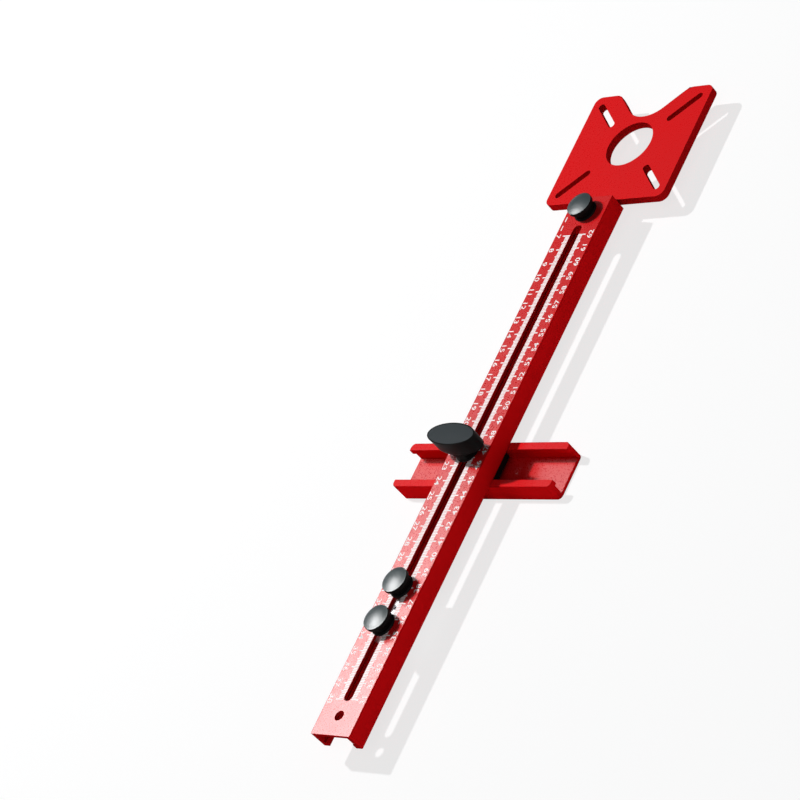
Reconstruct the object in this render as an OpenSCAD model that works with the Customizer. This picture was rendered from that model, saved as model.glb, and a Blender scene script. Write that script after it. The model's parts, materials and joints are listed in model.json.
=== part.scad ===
// Router circle cutting jig: a slotted channel rail that carries a router plate at one end,
// a sliding pivot block with a centre pin, and a swivelling fence rail below.
// The origin is on the axis of the router bore, level with the underside of the plate and rail.
// The rail runs towards -Y, and +Z points up out of the numbered face.

/* [Rails] */
// Length of the main rail
rail_len = 360; // [300:1:480]
// Width of the channel section that both rails share
rail_w = 30; // [28:0.5:36]
// Height of the channel section
rail_h = 12; // [11.5:0.5:16]
// Thickness of the section's flat web
web_t = 2; // [1.6:0.1:2.6]
// Thickness of the section's side walls
wall_t = 3.5; // [3:0.1:4]
// Width of each lip, from the outer face of its wall
lip_w = 5; // [4.6:0.1:5.6]
// Thickness of the lips along the open side
lip_t = 3.5; // [2.5:0.1:4]
// Rounding of the section's outer edges
edge_r = 0.6; // [0.2:0.1:1.2]
// Rounding of the main rail's four end corners, seen from above
rail_corner_r = 1; // [0.5:0.1:3]
// Width of the slot along the main rail
slot_w = 6; // [5.6:0.1:7]
// Distance from the plate end of the main rail to its slot
slot_plate_margin = 21; // [20:0.5:30]
// Distance from the foot end of the main rail to its slot
slot_foot_margin = 21; // [20:0.5:30]
// Diameter of the hole near each end of the main rail
end_hole_d = 6; // [5.6:0.1:7]
// Distance from the foot end of the main rail to its hole
foot_hole_inset = 12; // [8:0.5:14]
// Distance from the plate end of the main rail to the plate's knob
plate_knob_inset = 11; // [9.5:0.5:12]

/* [Router plate] */
// Width of the plate
plate_w = 90; // [84:1:120]
// Distance from the bore's axis to the plate's edge at the rail
plate_back = 42.5; // [40:0.5:60]
// Distance from the bore's axis to the plate's far edge
plate_front = 40; // [36:0.5:60]
// Thickness of the plate
plate_t = 5; // [4:0.1:6]
// Rounding of the plate's four corners
plate_corner_r = 5; // [2:0.5:8]
// Gap between the plate's edge and the end of the main rail
rail_gap = 2.5; // [1:0.5:6]
// Diameter of the bore for the router's bit
bore_d = 32; // [20:1:36]
// Length of each diagonal screw slot, from end to end
screw_slot_len = 25.4; // [12:0.2:26]
// Width of the screw slots
screw_slot_w = 4.2; // [3.2:0.1:5]
// Distance across the plate between the middles of the screw slots
screw_slot_span = 60; // [58:0.5:62]
// Distance from the bore's axis to the middles of the far screw slots
screw_slot_far = 24.5; // [24:0.5:26]
// Distance from the bore's axis to the middles of the near screw slots
screw_slot_near = 27.5; // [24:0.5:28]
// Distance from the bore's axis to the floor of the notch
notch_floor = 20.7; // [20:0.1:26]
// Radius of the notch's round floor
notch_r = 18; // [12:0.5:20]
// Rounding of the two ears beside the notch
ear_r = 6; // [1:0.5:8]
// Reach of the plate's tongue past its knob
tongue_reach = 9.5; // [9.5:0.5:14]
// Step down from the plate's top face to its tongue
tongue_step = 0.4; // [0.2:0.1:1]
// Distance between the two screws in the tongue
tongue_screw_pitch = 11.5; // [11:0.5:12]
// Thread diameter of the screws in the tongue
tongue_screw_d = 3; // [2.5:0.1:3.5]
// Head diameter of the screws in the tongue
tongue_screw_head_d = 5.6; // [5:0.1:6]

/* [Fence] */
// Length of the fence rail
fence_len = 120; // [80:1:200]
// Rounding of the fence rail's four end corners, seen from above
fence_corner_r = 3.2; // [1:0.1:3.4]
// Distance from the foot end of the main rail to the fence rail's middle
fence_inset = 181; // [150:0.5:200]
// Sideways shift of the fence rail from the main rail's middle
fence_shift = -1.5; // [-20:0.5:20]
// Length of the nut in the fence rail's channel
nut_len = 20; // [16:0.5:40]
// Thickness of the nut's flange under the lips
nut_flange_t = 4; // [3:0.1:4.4]

/* [Pivot] */
// Distance from the foot end of the main rail to the pivot pin
pivot_inset = 80.5; // [60:0.5:95]
// Distance between the two pivot knobs
pivot_pitch = 24; // [20:0.5:40]
// Length of the pivot block
pivot_block_len = 36; // [34:0.5:60]
// Diameter of the pivot pin
pin_d = 4; // [3:0.1:5]
// Diameter of the pivot pin's collar under the block
pin_collar_d = 8; // [7:0.5:12]
// Height of the pivot pin's collar
pin_collar_h = 2; // [1:0.1:3]
// Reach of the pivot pin below the rail's underside
pin_reach = 8; // [4:0.5:10]
// Height of the pivot pin's pointed tip
pin_tip_h = 2.5; // [1:0.1:3]

/* [Knobs] */
// Thread diameter of the knobs' screws
stud_d = 5; // [4:0.1:5.4]
// Width across the flats of the screws' hex heads
head_af = 8; // [7:0.1:9]
// Height of the screws' hex heads
head_h = 3; // [2:0.1:3.4]
// Diameter of the washers under the knobs
washer_d = 14.6; // [14.4:0.1:18]
// Thickness of the washers
washer_t = 1; // [0.5:0.1:1.5]
// Diameter of a small knob's neck
knob_neck_d = 13.2; // [12:0.1:13.4]
// Height of a small knob's neck
knob_neck_h = 4; // [3:0.1:8]
// Diameter of a small knob's cap
knob_cap_d = 16; // [15.6:0.1:20]
// Height of the straight side of the cap
knob_cap_skirt = 2.6; // [1.5:0.1:4]
// Height of the cap's dome
knob_cap_dome = 0.9; // [0.6:0.1:3]
// Wall thickness of the cap
knob_cap_wall = 1.2; // [1:0.1:1.4]
// Length of the fence knob's oval
paddle_len = 36; // [28:0.5:50]
// Width of the fence knob's oval
paddle_w = 14.8; // [14.4:0.1:20]
// Height of the fence knob above its washer
paddle_h = 16.1; // [15.5:0.1:24]
// Height of the fence knob's upright rim
paddle_rim_h = 10.6; // [8:0.1:11]
// Draft of the fence knob's rim, inwards on each side
paddle_draft = 0.2; // [0.1:0.1:1]
// Rounding of the fence knob's upper edge
paddle_edge = 0.2; // [0.1:0.1:0.4]
// Diameter of the fence knob's round neck
paddle_neck_d = 14; // [13:0.1:14.2]
// Height of the fence knob's round neck
paddle_neck_h = 3; // [2:0.1:4]
// Turn of the fence knob about its screw
paddle_turn = -3.5; // [-90:0.5:90]
// Width of the rim left around the fence knob's cover
cover_rim = 0.6; // [0.5:0.1:2]
// Thickness of the fence knob's cover
cover_t = 1.5; // [1:0.1:2]
// Height of the fence bolt's seat inside its knob
bolt_seat_h = 5; // [4:0.1:8]

/* [Fits] */
// Gap between flat faces that slide or turn on each other
turn_gap = 0.1; // [0.05:0.01:0.2]
// Gap on each side of a block that slides in the channel
side_gap = 0.2; // [0.1:0.05:0.3]
// Radial gap round a screw or pin in its hole
bore_gap = 0.05; // [0.02:0.01:0.1]
// Gap left beyond the end of a screw
end_gap = 0.5; // [0.3:0.1:0.6]

/* [Hidden] */
$fn = 64;

// Overshoot of a cut past the face that it opens
cut = 1;
red = [0.80, 0.10, 0.11];
black = [0.07, 0.07, 0.08];
gloss_black = [0.12, 0.14, 0.15];
grey = [0.26, 0.28, 0.28];
steel = [0.72, 0.73, 0.75];
bright = [0.86, 0.87, 0.88];

// Channel section
cavity_w = rail_w - 2 * wall_t;
mouth_w = rail_w - 2 * lip_w;
web_z = rail_h - web_t;

// Places along the main rail
rail_end_y = -(plate_back + rail_gap);
foot_y = rail_end_y - rail_len;
plate_knob_y = rail_end_y - plate_knob_inset;
fence_y = foot_y + fence_inset;
pivot_y = foot_y + pivot_inset;
upper_knob_y = pivot_y + pivot_pitch / 2;
lower_knob_y = pivot_y - pivot_pitch / 2;
foot_hole_y = foot_y + foot_hole_inset;

// Blocks that fill the channel and its mouth
block_w = cavity_w - 2 * side_gap;
tongue_w = mouth_w - 2 * side_gap;
tongue_len = plate_knob_inset + tongue_reach;
tongue_end_y = rail_end_y - tongue_len;
tongue_top = plate_t - tongue_step;
tongue_block_h = web_z - tongue_top;
tongue_screw_len = web_z - end_gap;
pivot_block_top = web_z - turn_gap;
pivot_flange_z = lip_t + side_gap;

// Levels below the main rail
fence_top = -turn_gap;
fence_floor = fence_top - web_z;
nut_flange_top = fence_top - lip_t - turn_gap;
nut_shoulder_top = fence_top - side_gap;
bolt_end_z = fence_floor + end_gap;

// Levels above the main rail
washer_top = rail_h + washer_t;
knob_z = washer_top + turn_gap;
cap_z = knob_z + knob_neck_h;
rim_z = cap_z + knob_cap_skirt;
stud_head_z = rim_z - head_h;
spigot_r = knob_cap_d / 2 - knob_cap_wall - bore_gap;
paddle_top = knob_z + paddle_h;
bolt_head_z = knob_z + bolt_seat_h;

stud_hole_r = stud_d / 2 + bore_gap;
cone_h = (tongue_screw_head_d - tongue_screw_d) / 2;

// Flat rectangle with round corners, made of true arcs
module round_rect(w, h, r) {
    translate([-w / 2 + r, 0]) square([w - 2 * r, h]);
    translate([-w / 2, r]) square([w, h - 2 * r]);
    for (x = [-w / 2 + r, w / 2 - r], y = [r, h - r]) {
        translate([x, y]) circle(r);
    }
}

// Upright block with round corners, centred on its own axis
module round_block(w, l, h, r) {
    translate([0, -l / 2, 0]) linear_extrude(h) round_rect(w, l, r);
}

// Flat slot with round ends, centred, running along X
module slot_shape(l, w) {
    square([l - w, w], center = true);
    for (x = [-1, 1] * (l - w) / 2) {
        translate([x, 0]) circle(w / 2);
    }
}

// Upright hex bar, by its width across the flats
module hex_bar(af, h) {
    cylinder(r = af / sqrt(3), h = h, $fn = 6);
}

// Flat oval, centred, with its length along X
module oval(l, w) {
    scale([l / w, 1]) circle(d = w, $fn = 72);
}

// Slice of the fence knob at a height above the knob's base
module oval_slice(z, l, w) {
    slice = 0.01;
    translate([0, 0, z]) linear_extrude(slice) oval(l, w);
}

// Section of both rails, with its open side at the bottom
module channel_section() {
    difference() {
        round_rect(rail_w, rail_h, edge_r);
        translate([-cavity_w / 2, lip_t]) square([cavity_w, web_z - lip_t]);
        translate([-mouth_w / 2, -cut]) square([mouth_w, lip_t + 2 * cut]);
    }
}

// Length of the section along X, open side down, with its end corners rounded
module channel(l, corner_r) {
    intersection() {
        translate([-l / 2, 0, 0]) rotate([90, 0, 90]) linear_extrude(l) channel_section();
        translate([0, 0, -cut]) round_block(l, rail_w, rail_h + 2 * cut, corner_r);
    }
}

// Rail with its slot and its two end holes
module main_rail() {
    slot_len = rail_len - slot_plate_margin - slot_foot_margin;
    slot_mid_y = (rail_end_y - slot_plate_margin + foot_y + slot_foot_margin) / 2;
    color(red) difference() {
        translate([0, (rail_end_y + foot_y) / 2, 0]) rotate(90) channel(rail_len, rail_corner_r);
        translate([0, slot_mid_y, web_z - cut])
            rotate(90) linear_extrude(web_t + 2 * cut) slot_shape(slot_len, slot_w);
        for (y = [plate_knob_y, foot_hole_y]) {
            translate([0, y, web_z - cut]) cylinder(d = end_hole_d, h = web_t + 2 * cut);
        }
    }
}

// Notch in the plate's far edge: a round floor between two 45 degree sides
module notch_shape() {
    tangent = notch_r / sqrt(2);
    centre_y = notch_floor + notch_r;
    rise = plate_front + cut - (centre_y - tangent);
    translate([0, centre_y]) circle(notch_r);
    polygon([
        [-tangent, centre_y - tangent],
        [tangent, centre_y - tangent],
        [tangent + rise, plate_front + cut],
        [-tangent - rise, plate_front + cut]
    ]);
}

// Sliver that rounds the ear on the +X side of the notch
module ear_corner() {
    corner_x = notch_r / sqrt(2) + plate_front - (notch_floor + notch_r - notch_r / sqrt(2));
    reach = ear_r * tan(22.5);
    difference() {
        polygon([
            [corner_x, plate_front],
            [corner_x + reach, plate_front],
            [corner_x + reach, plate_front - ear_r],
            [corner_x - reach / sqrt(2), plate_front - reach / sqrt(2)]
        ]);
        translate([corner_x + reach, plate_front - ear_r]) circle(ear_r);
    }
}

// Plate with bore, notch, screw slots and the tongue that enters the rail
module router_plate() {
    root = tongue_len + rail_gap + cut;
    color(red) difference() {
        union() {
            linear_extrude(plate_t) difference() {
                translate([0, -plate_back]) round_rect(plate_w, plate_back + plate_front, plate_corner_r);
                circle(d = bore_d, $fn = 96);
                notch_shape();
                ear_corner();
                mirror([1, 0]) ear_corner();
                for (side = [-1, 1]) {
                    translate([side * screw_slot_span / 2, screw_slot_far])
                        rotate(side * 45) slot_shape(screw_slot_len, screw_slot_w);
                    translate([side * screw_slot_span / 2, -screw_slot_near])
                        rotate(-side * 45) slot_shape(screw_slot_len, screw_slot_w);
                }
            }
            translate([-tongue_w / 2, tongue_end_y, 0]) cube([tongue_w, root, tongue_top]);
        }
        for (side = [-1, 1]) {
            translate([0, plate_knob_y + side * tongue_screw_pitch / 2, 0]) screw_hole();
        }
    }
}

// Countersunk hole for a tongue screw, with room round the screw
module screw_hole() {
    gap = 2 * bore_gap;
    translate([0, 0, -cut]) cylinder(d = tongue_screw_d + gap, h = tongue_top + 2 * cut);
    cylinder(d1 = tongue_screw_head_d + gap, d2 = tongue_screw_d + gap, h = cone_h);
    translate([0, 0, -cut]) cylinder(d = tongue_screw_head_d + gap, h = cut);
}

// Block on the tongue that takes the plate knob's stud
module tongue_block() {
    block_corner_r = 1;
    color(red) difference() {
        translate([0, (rail_end_y + tongue_end_y) / 2, tongue_top])
            round_block(block_w, tongue_len, tongue_block_h, block_corner_r);
        translate([0, plate_knob_y, tongue_top - cut])
            cylinder(r = stud_hole_r, h = tongue_block_h + 2 * cut);
        for (side = [-1, 1]) {
            translate([0, plate_knob_y + side * tongue_screw_pitch / 2, tongue_top - cut])
                cylinder(r = tongue_screw_d / 2 + bore_gap, h = tongue_block_h + 2 * cut);
        }
    }
}

// Two countersunk screws that hold the tongue block on the plate
module tongue_screws() {
    socket_af = tongue_screw_d * 2 / 3;
    socket_depth = cone_h;
    color(steel) for (side = [-1, 1]) {
        translate([0, plate_knob_y + side * tongue_screw_pitch / 2, 0]) difference() {
            union() {
                cylinder(d = tongue_screw_d, h = tongue_screw_len);
                cylinder(d1 = tongue_screw_head_d, d2 = tongue_screw_d, h = cone_h);
            }
            translate([0, 0, -cut]) hex_bar(socket_af, socket_depth + cut);
        }
    }
}

// Flat ring under a knob
module washer(y) {
    color(black) translate([0, y, rail_h]) difference() {
        cylinder(d = washer_d, h = washer_t);
        translate([0, 0, -cut]) cylinder(r = stud_hole_r, h = washer_t + 2 * cut);
    }
}

// Neck of a small knob, with the hex pocket that holds its screw's head
module small_knob_body(y) {
    color(black) translate([0, y, 0]) difference() {
        union() {
            translate([0, 0, knob_z]) cylinder(d = knob_neck_d, h = knob_neck_h);
            translate([0, 0, cap_z]) cylinder(r = spigot_r, h = knob_cap_skirt);
        }
        translate([0, 0, knob_z - cut]) cylinder(r = stud_hole_r, h = rim_z - knob_z);
        translate([0, 0, stud_head_z]) hex_bar(head_af + 2 * bore_gap, head_h + cut);
    }
}

// Domed cap over a small knob
module small_knob_cap(y) {
    cap_r = knob_cap_d / 2;
    dome_r = (cap_r * cap_r + knob_cap_dome * knob_cap_dome) / (2 * knob_cap_dome);
    color(gloss_black) translate([0, y, 0]) rotate_extrude($fn = 96) {
        translate([spigot_r + bore_gap, cap_z]) square([knob_cap_wall, knob_cap_skirt]);
        intersection() {
            translate([0, rim_z + knob_cap_dome - dome_r]) circle(dome_r, $fn = 180);
            translate([0, rim_z]) square([cap_r, knob_cap_dome]);
        }
    }
}

// Hex-headed screw of a knob, from the top of its head down to its end
module knob_screw(y, head_z, end_z) {
    color(steel) translate([0, y, 0]) {
        translate([0, 0, head_z]) hex_bar(head_af, head_h);
        translate([0, 0, end_z]) cylinder(d = stud_d, h = head_z - end_z);
    }
}

module plate_knob_body() { small_knob_body(plate_knob_y); }
module plate_knob_cap() { small_knob_cap(plate_knob_y); }
module plate_knob_stud() { knob_screw(plate_knob_y, stud_head_z, tongue_top + end_gap); }
module plate_knob_washer() { washer(plate_knob_y); }

module upper_knob_body() { small_knob_body(upper_knob_y); }
module upper_knob_cap() { small_knob_cap(upper_knob_y); }
module upper_knob_stud() { knob_screw(upper_knob_y, stud_head_z, end_gap); }
module upper_knob_washer() { washer(upper_knob_y); }

module lower_knob_body() { small_knob_body(lower_knob_y); }
module lower_knob_cap() { small_knob_cap(lower_knob_y); }
module lower_knob_stud() { knob_screw(lower_knob_y, stud_head_z, end_gap); }
module lower_knob_washer() { washer(lower_knob_y); }

// Fence: the same section, laid across with its open side up
module fence_rail() {
    color(red) translate([fence_shift, fence_y, fence_top])
        rotate([180, 0, 0]) channel(fence_len, fence_corner_r);
}

// Nut under the fence's lips, with a shoulder that fills the mouth between them
module fence_t_nut() {
    corner_r = 1;
    flange_z = nut_flange_top - nut_flange_t;
    color(black) translate([0, fence_y, 0]) difference() {
        union() {
            translate([0, 0, flange_z]) round_block(nut_len, block_w, nut_flange_t, corner_r);
            translate([0, 0, flange_z]) round_block(nut_len, tongue_w, nut_shoulder_top - flange_z, corner_r);
        }
        translate([0, 0, flange_z - cut]) cylinder(r = stud_hole_r, h = nut_shoulder_top - flange_z + 2 * cut);
    }
}

// Oval paddle knob: an upright rim that tapers below to a round neck
module fence_knob_body() {
    rim_low = paddle_h - paddle_rim_h;
    rim_high = paddle_h - paddle_edge;
    recess_l = paddle_len - 2 * cover_rim;
    recess_w = paddle_w - 2 * cover_rim;
    color(black) translate([0, fence_y, knob_z]) rotate(paddle_turn) difference() {
        union() {
            cylinder(d = paddle_neck_d, h = paddle_neck_h);
            hull() {
                oval_slice(paddle_neck_h, paddle_neck_d, paddle_neck_d);
                oval_slice(rim_low, paddle_len - 2 * paddle_draft, paddle_w - 2 * paddle_draft);
                oval_slice(rim_high, paddle_len, paddle_w);
                oval_slice(paddle_h, paddle_len - 2 * paddle_edge, paddle_w - 2 * paddle_edge);
            }
        }
        translate([0, 0, paddle_h - cover_t]) linear_extrude(cover_t + cut) oval(recess_l, recess_w);
        translate([0, 0, -cut]) cylinder(r = stud_hole_r, h = paddle_h);
        translate([0, 0, bolt_seat_h]) hex_bar(head_af + 2 * bore_gap, paddle_h);
    }
}

// Flat oval cover let into the top of the fence knob
module fence_knob_cover() {
    cover_l = paddle_len - 2 * cover_rim - 2 * bore_gap;
    cover_w = paddle_w - 2 * cover_rim - 2 * bore_gap;
    color(grey) translate([0, fence_y, paddle_top - cover_t]) rotate(paddle_turn)
        linear_extrude(cover_t) oval(cover_l, cover_w);
}

module fence_knob_bolt() { rotate_about(fence_y, paddle_turn) knob_screw(fence_y, bolt_head_z, bolt_end_z); }
module fence_knob_washer() { washer(fence_y); }

// Turns a piece about the upright axis at a place along the rail
module rotate_about(y, angle) {
    translate([0, y, 0]) rotate(angle) translate([0, -y, 0]) children();
}

// Sliding block under the slot: a flange in the channel and a shoulder in its mouth
module pivot_block() {
    corner_r = 1;
    shoulder_z = side_gap;
    color(bright) translate([0, pivot_y, 0]) difference() {
        union() {
            translate([0, 0, pivot_flange_z])
                round_block(block_w, pivot_block_len, pivot_block_top - pivot_flange_z, corner_r);
            translate([0, 0, shoulder_z])
                round_block(tongue_w, pivot_block_len, pivot_block_top - shoulder_z, corner_r);
        }
        for (side = [-1, 1]) {
            translate([0, side * pivot_pitch / 2, -cut]) cylinder(r = stud_hole_r, h = rail_h);
        }
        translate([0, 0, -cut]) cylinder(r = pin_d / 2 + bore_gap, h = rail_h);
    }
}

// Pointed centre pin with a collar under the block and a hex socket in its top
module pivot_pin() {
    socket_af = pin_d / 2;
    socket_depth = pin_d * 3 / 4;
    point_r = pin_d / 8;
    top_z = pivot_block_top - turn_gap;
    color(steel) translate([0, pivot_y, 0]) difference() {
        union() {
            translate([0, 0, pin_tip_h - pin_reach])
                cylinder(d = pin_d, h = top_z + pin_reach - pin_tip_h);
            translate([0, 0, -pin_reach]) cylinder(r1 = point_r, r2 = pin_d / 2, h = pin_tip_h);
            translate([0, 0, side_gap - pin_collar_h]) cylinder(d = pin_collar_d, h = pin_collar_h);
        }
        translate([0, 0, top_z - socket_depth]) hex_bar(socket_af, socket_depth + cut);
    }
}

main_rail();
router_plate();
tongue_block();
tongue_screws();
plate_knob_body();
plate_knob_cap();
plate_knob_stud();
plate_knob_washer();
fence_rail();
fence_t_nut();
fence_knob_body();
fence_knob_cover();
fence_knob_bolt();
fence_knob_washer();
pivot_block();
pivot_pin();
upper_knob_body();
upper_knob_cap();
upper_knob_stud();
upper_knob_washer();
lower_knob_body();
lower_knob_cap();
lower_knob_stud();
lower_knob_washer();
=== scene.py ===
import json
import math

import bmesh
import bpy
from mathutils import Matrix, Vector


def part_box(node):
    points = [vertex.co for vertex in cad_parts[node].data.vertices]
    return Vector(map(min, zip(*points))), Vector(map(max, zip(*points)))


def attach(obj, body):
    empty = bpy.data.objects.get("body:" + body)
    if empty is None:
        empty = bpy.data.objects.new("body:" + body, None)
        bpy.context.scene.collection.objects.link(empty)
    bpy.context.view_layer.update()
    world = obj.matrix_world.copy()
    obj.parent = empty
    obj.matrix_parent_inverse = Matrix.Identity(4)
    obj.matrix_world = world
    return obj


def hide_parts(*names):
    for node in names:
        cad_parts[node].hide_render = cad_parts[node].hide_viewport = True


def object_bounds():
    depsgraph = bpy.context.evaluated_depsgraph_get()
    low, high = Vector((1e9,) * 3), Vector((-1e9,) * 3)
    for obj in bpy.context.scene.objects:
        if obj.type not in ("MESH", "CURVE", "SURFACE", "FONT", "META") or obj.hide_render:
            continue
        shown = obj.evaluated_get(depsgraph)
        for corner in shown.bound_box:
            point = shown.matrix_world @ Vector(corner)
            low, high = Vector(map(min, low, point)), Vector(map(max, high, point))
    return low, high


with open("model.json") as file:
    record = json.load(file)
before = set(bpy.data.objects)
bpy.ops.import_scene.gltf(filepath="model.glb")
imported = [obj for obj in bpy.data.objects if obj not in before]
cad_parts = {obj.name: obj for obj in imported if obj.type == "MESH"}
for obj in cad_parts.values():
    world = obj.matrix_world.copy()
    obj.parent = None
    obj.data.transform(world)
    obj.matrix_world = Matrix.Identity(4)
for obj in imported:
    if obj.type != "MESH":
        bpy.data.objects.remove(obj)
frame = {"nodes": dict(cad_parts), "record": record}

scene = bpy.context.scene
cadNodes = frame["nodes"]
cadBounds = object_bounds()
slotOfNode = {part["node"]: part["material_slot"] for part in frame["record"]["subparts"]}
bodyLists = frame["record"]["behaviour"]["bodies"]
bodyOfNode = {node: body for body, nodes in bodyLists.items() for node in nodes}
print("frame loaded:", len(cadNodes), "solids")


def addNode(tree, kind, place=(0, 0), **settings):
    node = tree.nodes.new(kind)
    node.location = place
    for key, value in settings.items():
        setattr(node, key, value)
    return node


def setInputs(node, **values):
    for key, value in values.items():
        node.inputs[key.replace("_", " ")].default_value = value


# Camera
viewSetup = {
    "place": (1.134025, -0.905880, 0.961410),
    "right": (0.70167013, 0.40885454, -0.58352120),
    "up": (0.01825691, 0.80838889, 0.58836560),
    "back": (0.71226800, -0.42349187, 0.55975792),
    "lens": 133.983,
    "sensor": 36,
    "halfPixel": 0.5 / 800,
}

cameraData = bpy.data.cameras.new("viewCamera")
cameraData.sensor_width = viewSetup["sensor"]
cameraData.lens = viewSetup["lens"]
cameraData.shift_x = -viewSetup["halfPixel"]
cameraData.shift_y = viewSetup["halfPixel"]
camera = bpy.data.objects.new("viewCamera", cameraData)
cameraAxes = Matrix((viewSetup["right"], viewSetup["up"], viewSetup["back"])).transposed()
camera.matrix_world = Matrix.Translation(viewSetup["place"]) @ cameraAxes.to_4x4()
scene.collection.objects.link(camera)
scene.camera = camera
scene.view_settings.view_transform = "Standard"

# Lights: a hard key for the shadows, two cards that only reflections show, and a soft fill on the near side
lightSetup = {
    "keyLamp": {
        "place": (-1.007, 0.102, 1.70), "aim": (0.03, -0.238, 0.0), "size": (0.08, 0.08), "power": 41.0,
        "lights": True, "reflected": False},
    "plainCard": {
        "place": (-1.0, -0.035, 1.70), "aim": (0.0, -0.035, 1.70), "size": (0.57, 1.80), "power": 25.8,
        "lights": False, "reflected": True},
    "strongCard": {
        "place": (-1.0, -0.12, 1.875), "aim": (0.0, -0.12, 1.875), "size": (0.76, 1.85), "power": 61.5,
        "lights": False, "reflected": True},
    "fillCard": {
        "place": (0.98, -1.13, 1.50), "aim": (0.0, -0.20, 0.0), "size": (1.20, 1.20), "power": 7.5,
        "lights": True, "reflected": True},
}
worldSetup = {"colour": (0.96, 0.98, 1.0, 1), "strength": 0.04}

for name, lamp in lightSetup.items():
    lampData = bpy.data.lights.new(name, "AREA")
    lampData.shape = "RECTANGLE"
    lampData.size, lampData.size_y = lamp["size"]
    lampData.energy = lamp["power"]
    lampObject = bpy.data.objects.new(name, lampData)
    lampObject.visible_camera = False
    lampObject.visible_diffuse = lamp["lights"]
    lampObject.visible_glossy = lamp["reflected"]
    lampTurn = (Vector(lamp["aim"]) - Vector(lamp["place"])).to_track_quat("-Z", "Y")
    lampObject.matrix_world = Matrix.Translation(lamp["place"]) @ lampTurn.to_matrix().to_4x4()
    scene.collection.objects.link(lampObject)

world = bpy.data.worlds.new("studioWorld")
scene.world = world
world.use_nodes = True
setInputs(world.node_tree.nodes["Background"], Color=worldSetup["colour"], Strength=worldSetup["strength"])

# Floor: white to the eye and in reflections, pale to the light, and it keeps the shadow
floorSetup = {
    "gap": 0.00005,
    "half": 4.0,
    "colour": (0.88, 0.885, 0.89, 1),
    "whiteShare": 0.75,
}


def makeFloorPaint():
    paint = bpy.data.materials.new("paleFloor")
    paint.use_nodes = True
    tree = paint.node_tree
    tree.nodes.clear()
    out = addNode(tree, "ShaderNodeOutputMaterial", (600, 0))
    matte = addNode(tree, "ShaderNodeBsdfDiffuse", (0, 100))
    setInputs(matte, Color=floorSetup["colour"])
    glow = addNode(tree, "ShaderNodeEmission", (0, -100))
    rays = addNode(tree, "ShaderNodeLightPath", (-500, 300))
    seen = addNode(tree, "ShaderNodeMath", (-300, 300), operation="MAXIMUM")
    seenAll = addNode(tree, "ShaderNodeMath", (-100, 300), operation="MAXIMUM")
    share = addNode(tree, "ShaderNodeMath", (100, 300), operation="MULTIPLY")
    share.inputs[1].default_value = floorSetup["whiteShare"]
    mix = addNode(tree, "ShaderNodeMixShader", (350, 0))
    tree.links.new(rays.outputs["Is Camera Ray"], seen.inputs[0])
    tree.links.new(rays.outputs["Is Glossy Ray"], seen.inputs[1])
    tree.links.new(seen.outputs[0], seenAll.inputs[0])
    tree.links.new(rays.outputs["Is Transmission Ray"], seenAll.inputs[1])
    tree.links.new(seenAll.outputs[0], share.inputs[0])
    tree.links.new(share.outputs[0], mix.inputs[0])
    tree.links.new(matte.outputs[0], mix.inputs[1])
    tree.links.new(glow.outputs[0], mix.inputs[2])
    tree.links.new(mix.outputs[0], out.inputs["Surface"])
    return paint


floorLevel = cadBounds[0][2] - floorSetup["gap"]
floorMesh = bpy.data.meshes.new("floor")
floorCorners = [(x * floorSetup["half"], y * floorSetup["half"], floorLevel)
                for x, y in ((-1, -1), (1, -1), (1, 1), (-1, 1))]
floorMesh.from_pydata(floorCorners, [], [(0, 1, 2, 3)])
floorMesh.materials.append(makeFloorPaint())
floor = bpy.data.objects.new("floor", floorMesh)
scene.collection.objects.link(floor)
print("camera, lights and floor ready")


# Shared shader effects
grainMake = {"detail": 2.0, "roughness": 0.6, "cellShare": 0.5}
patchMake = {"detail": 4.0, "roughness": 0.55, "maskStart": 0.35, "maskEnd": 0.65}
lineMake = {"detail": 3.0, "roughness": 0.7}
slopeMake = {"sideEnd": 0.05, "edgeStart": 0.30, "edgeEnd": 0.9985, "topStart": 0.9999}    # a normal's rise
mixSockets = {"first": 6, "second": 7, "result": 2}    # a Mix node's colours go by number


def newGroup(name, inputs, outputs):
    group = bpy.data.node_groups.new(name, "ShaderNodeTree")
    for label, kind, value in inputs:
        socket = group.interface.new_socket(label, in_out="INPUT", socket_type=kind)
        if value is not None:
            socket.default_value = value
    for label in outputs:
        group.interface.new_socket(label, in_out="OUTPUT", socket_type="NodeSocketFloat")
    source = addNode(group, "NodeGroupInput", (-900, 0))
    sink = addNode(group, "NodeGroupOutput", (900, 0))
    return group, source, sink


def addPerMetre(group, length, place):
    node = addNode(group, "ShaderNodeMath", place, operation="DIVIDE")
    node.inputs[0].default_value = 1.0
    group.links.new(length, node.inputs[1])
    return node.outputs[0]


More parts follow.
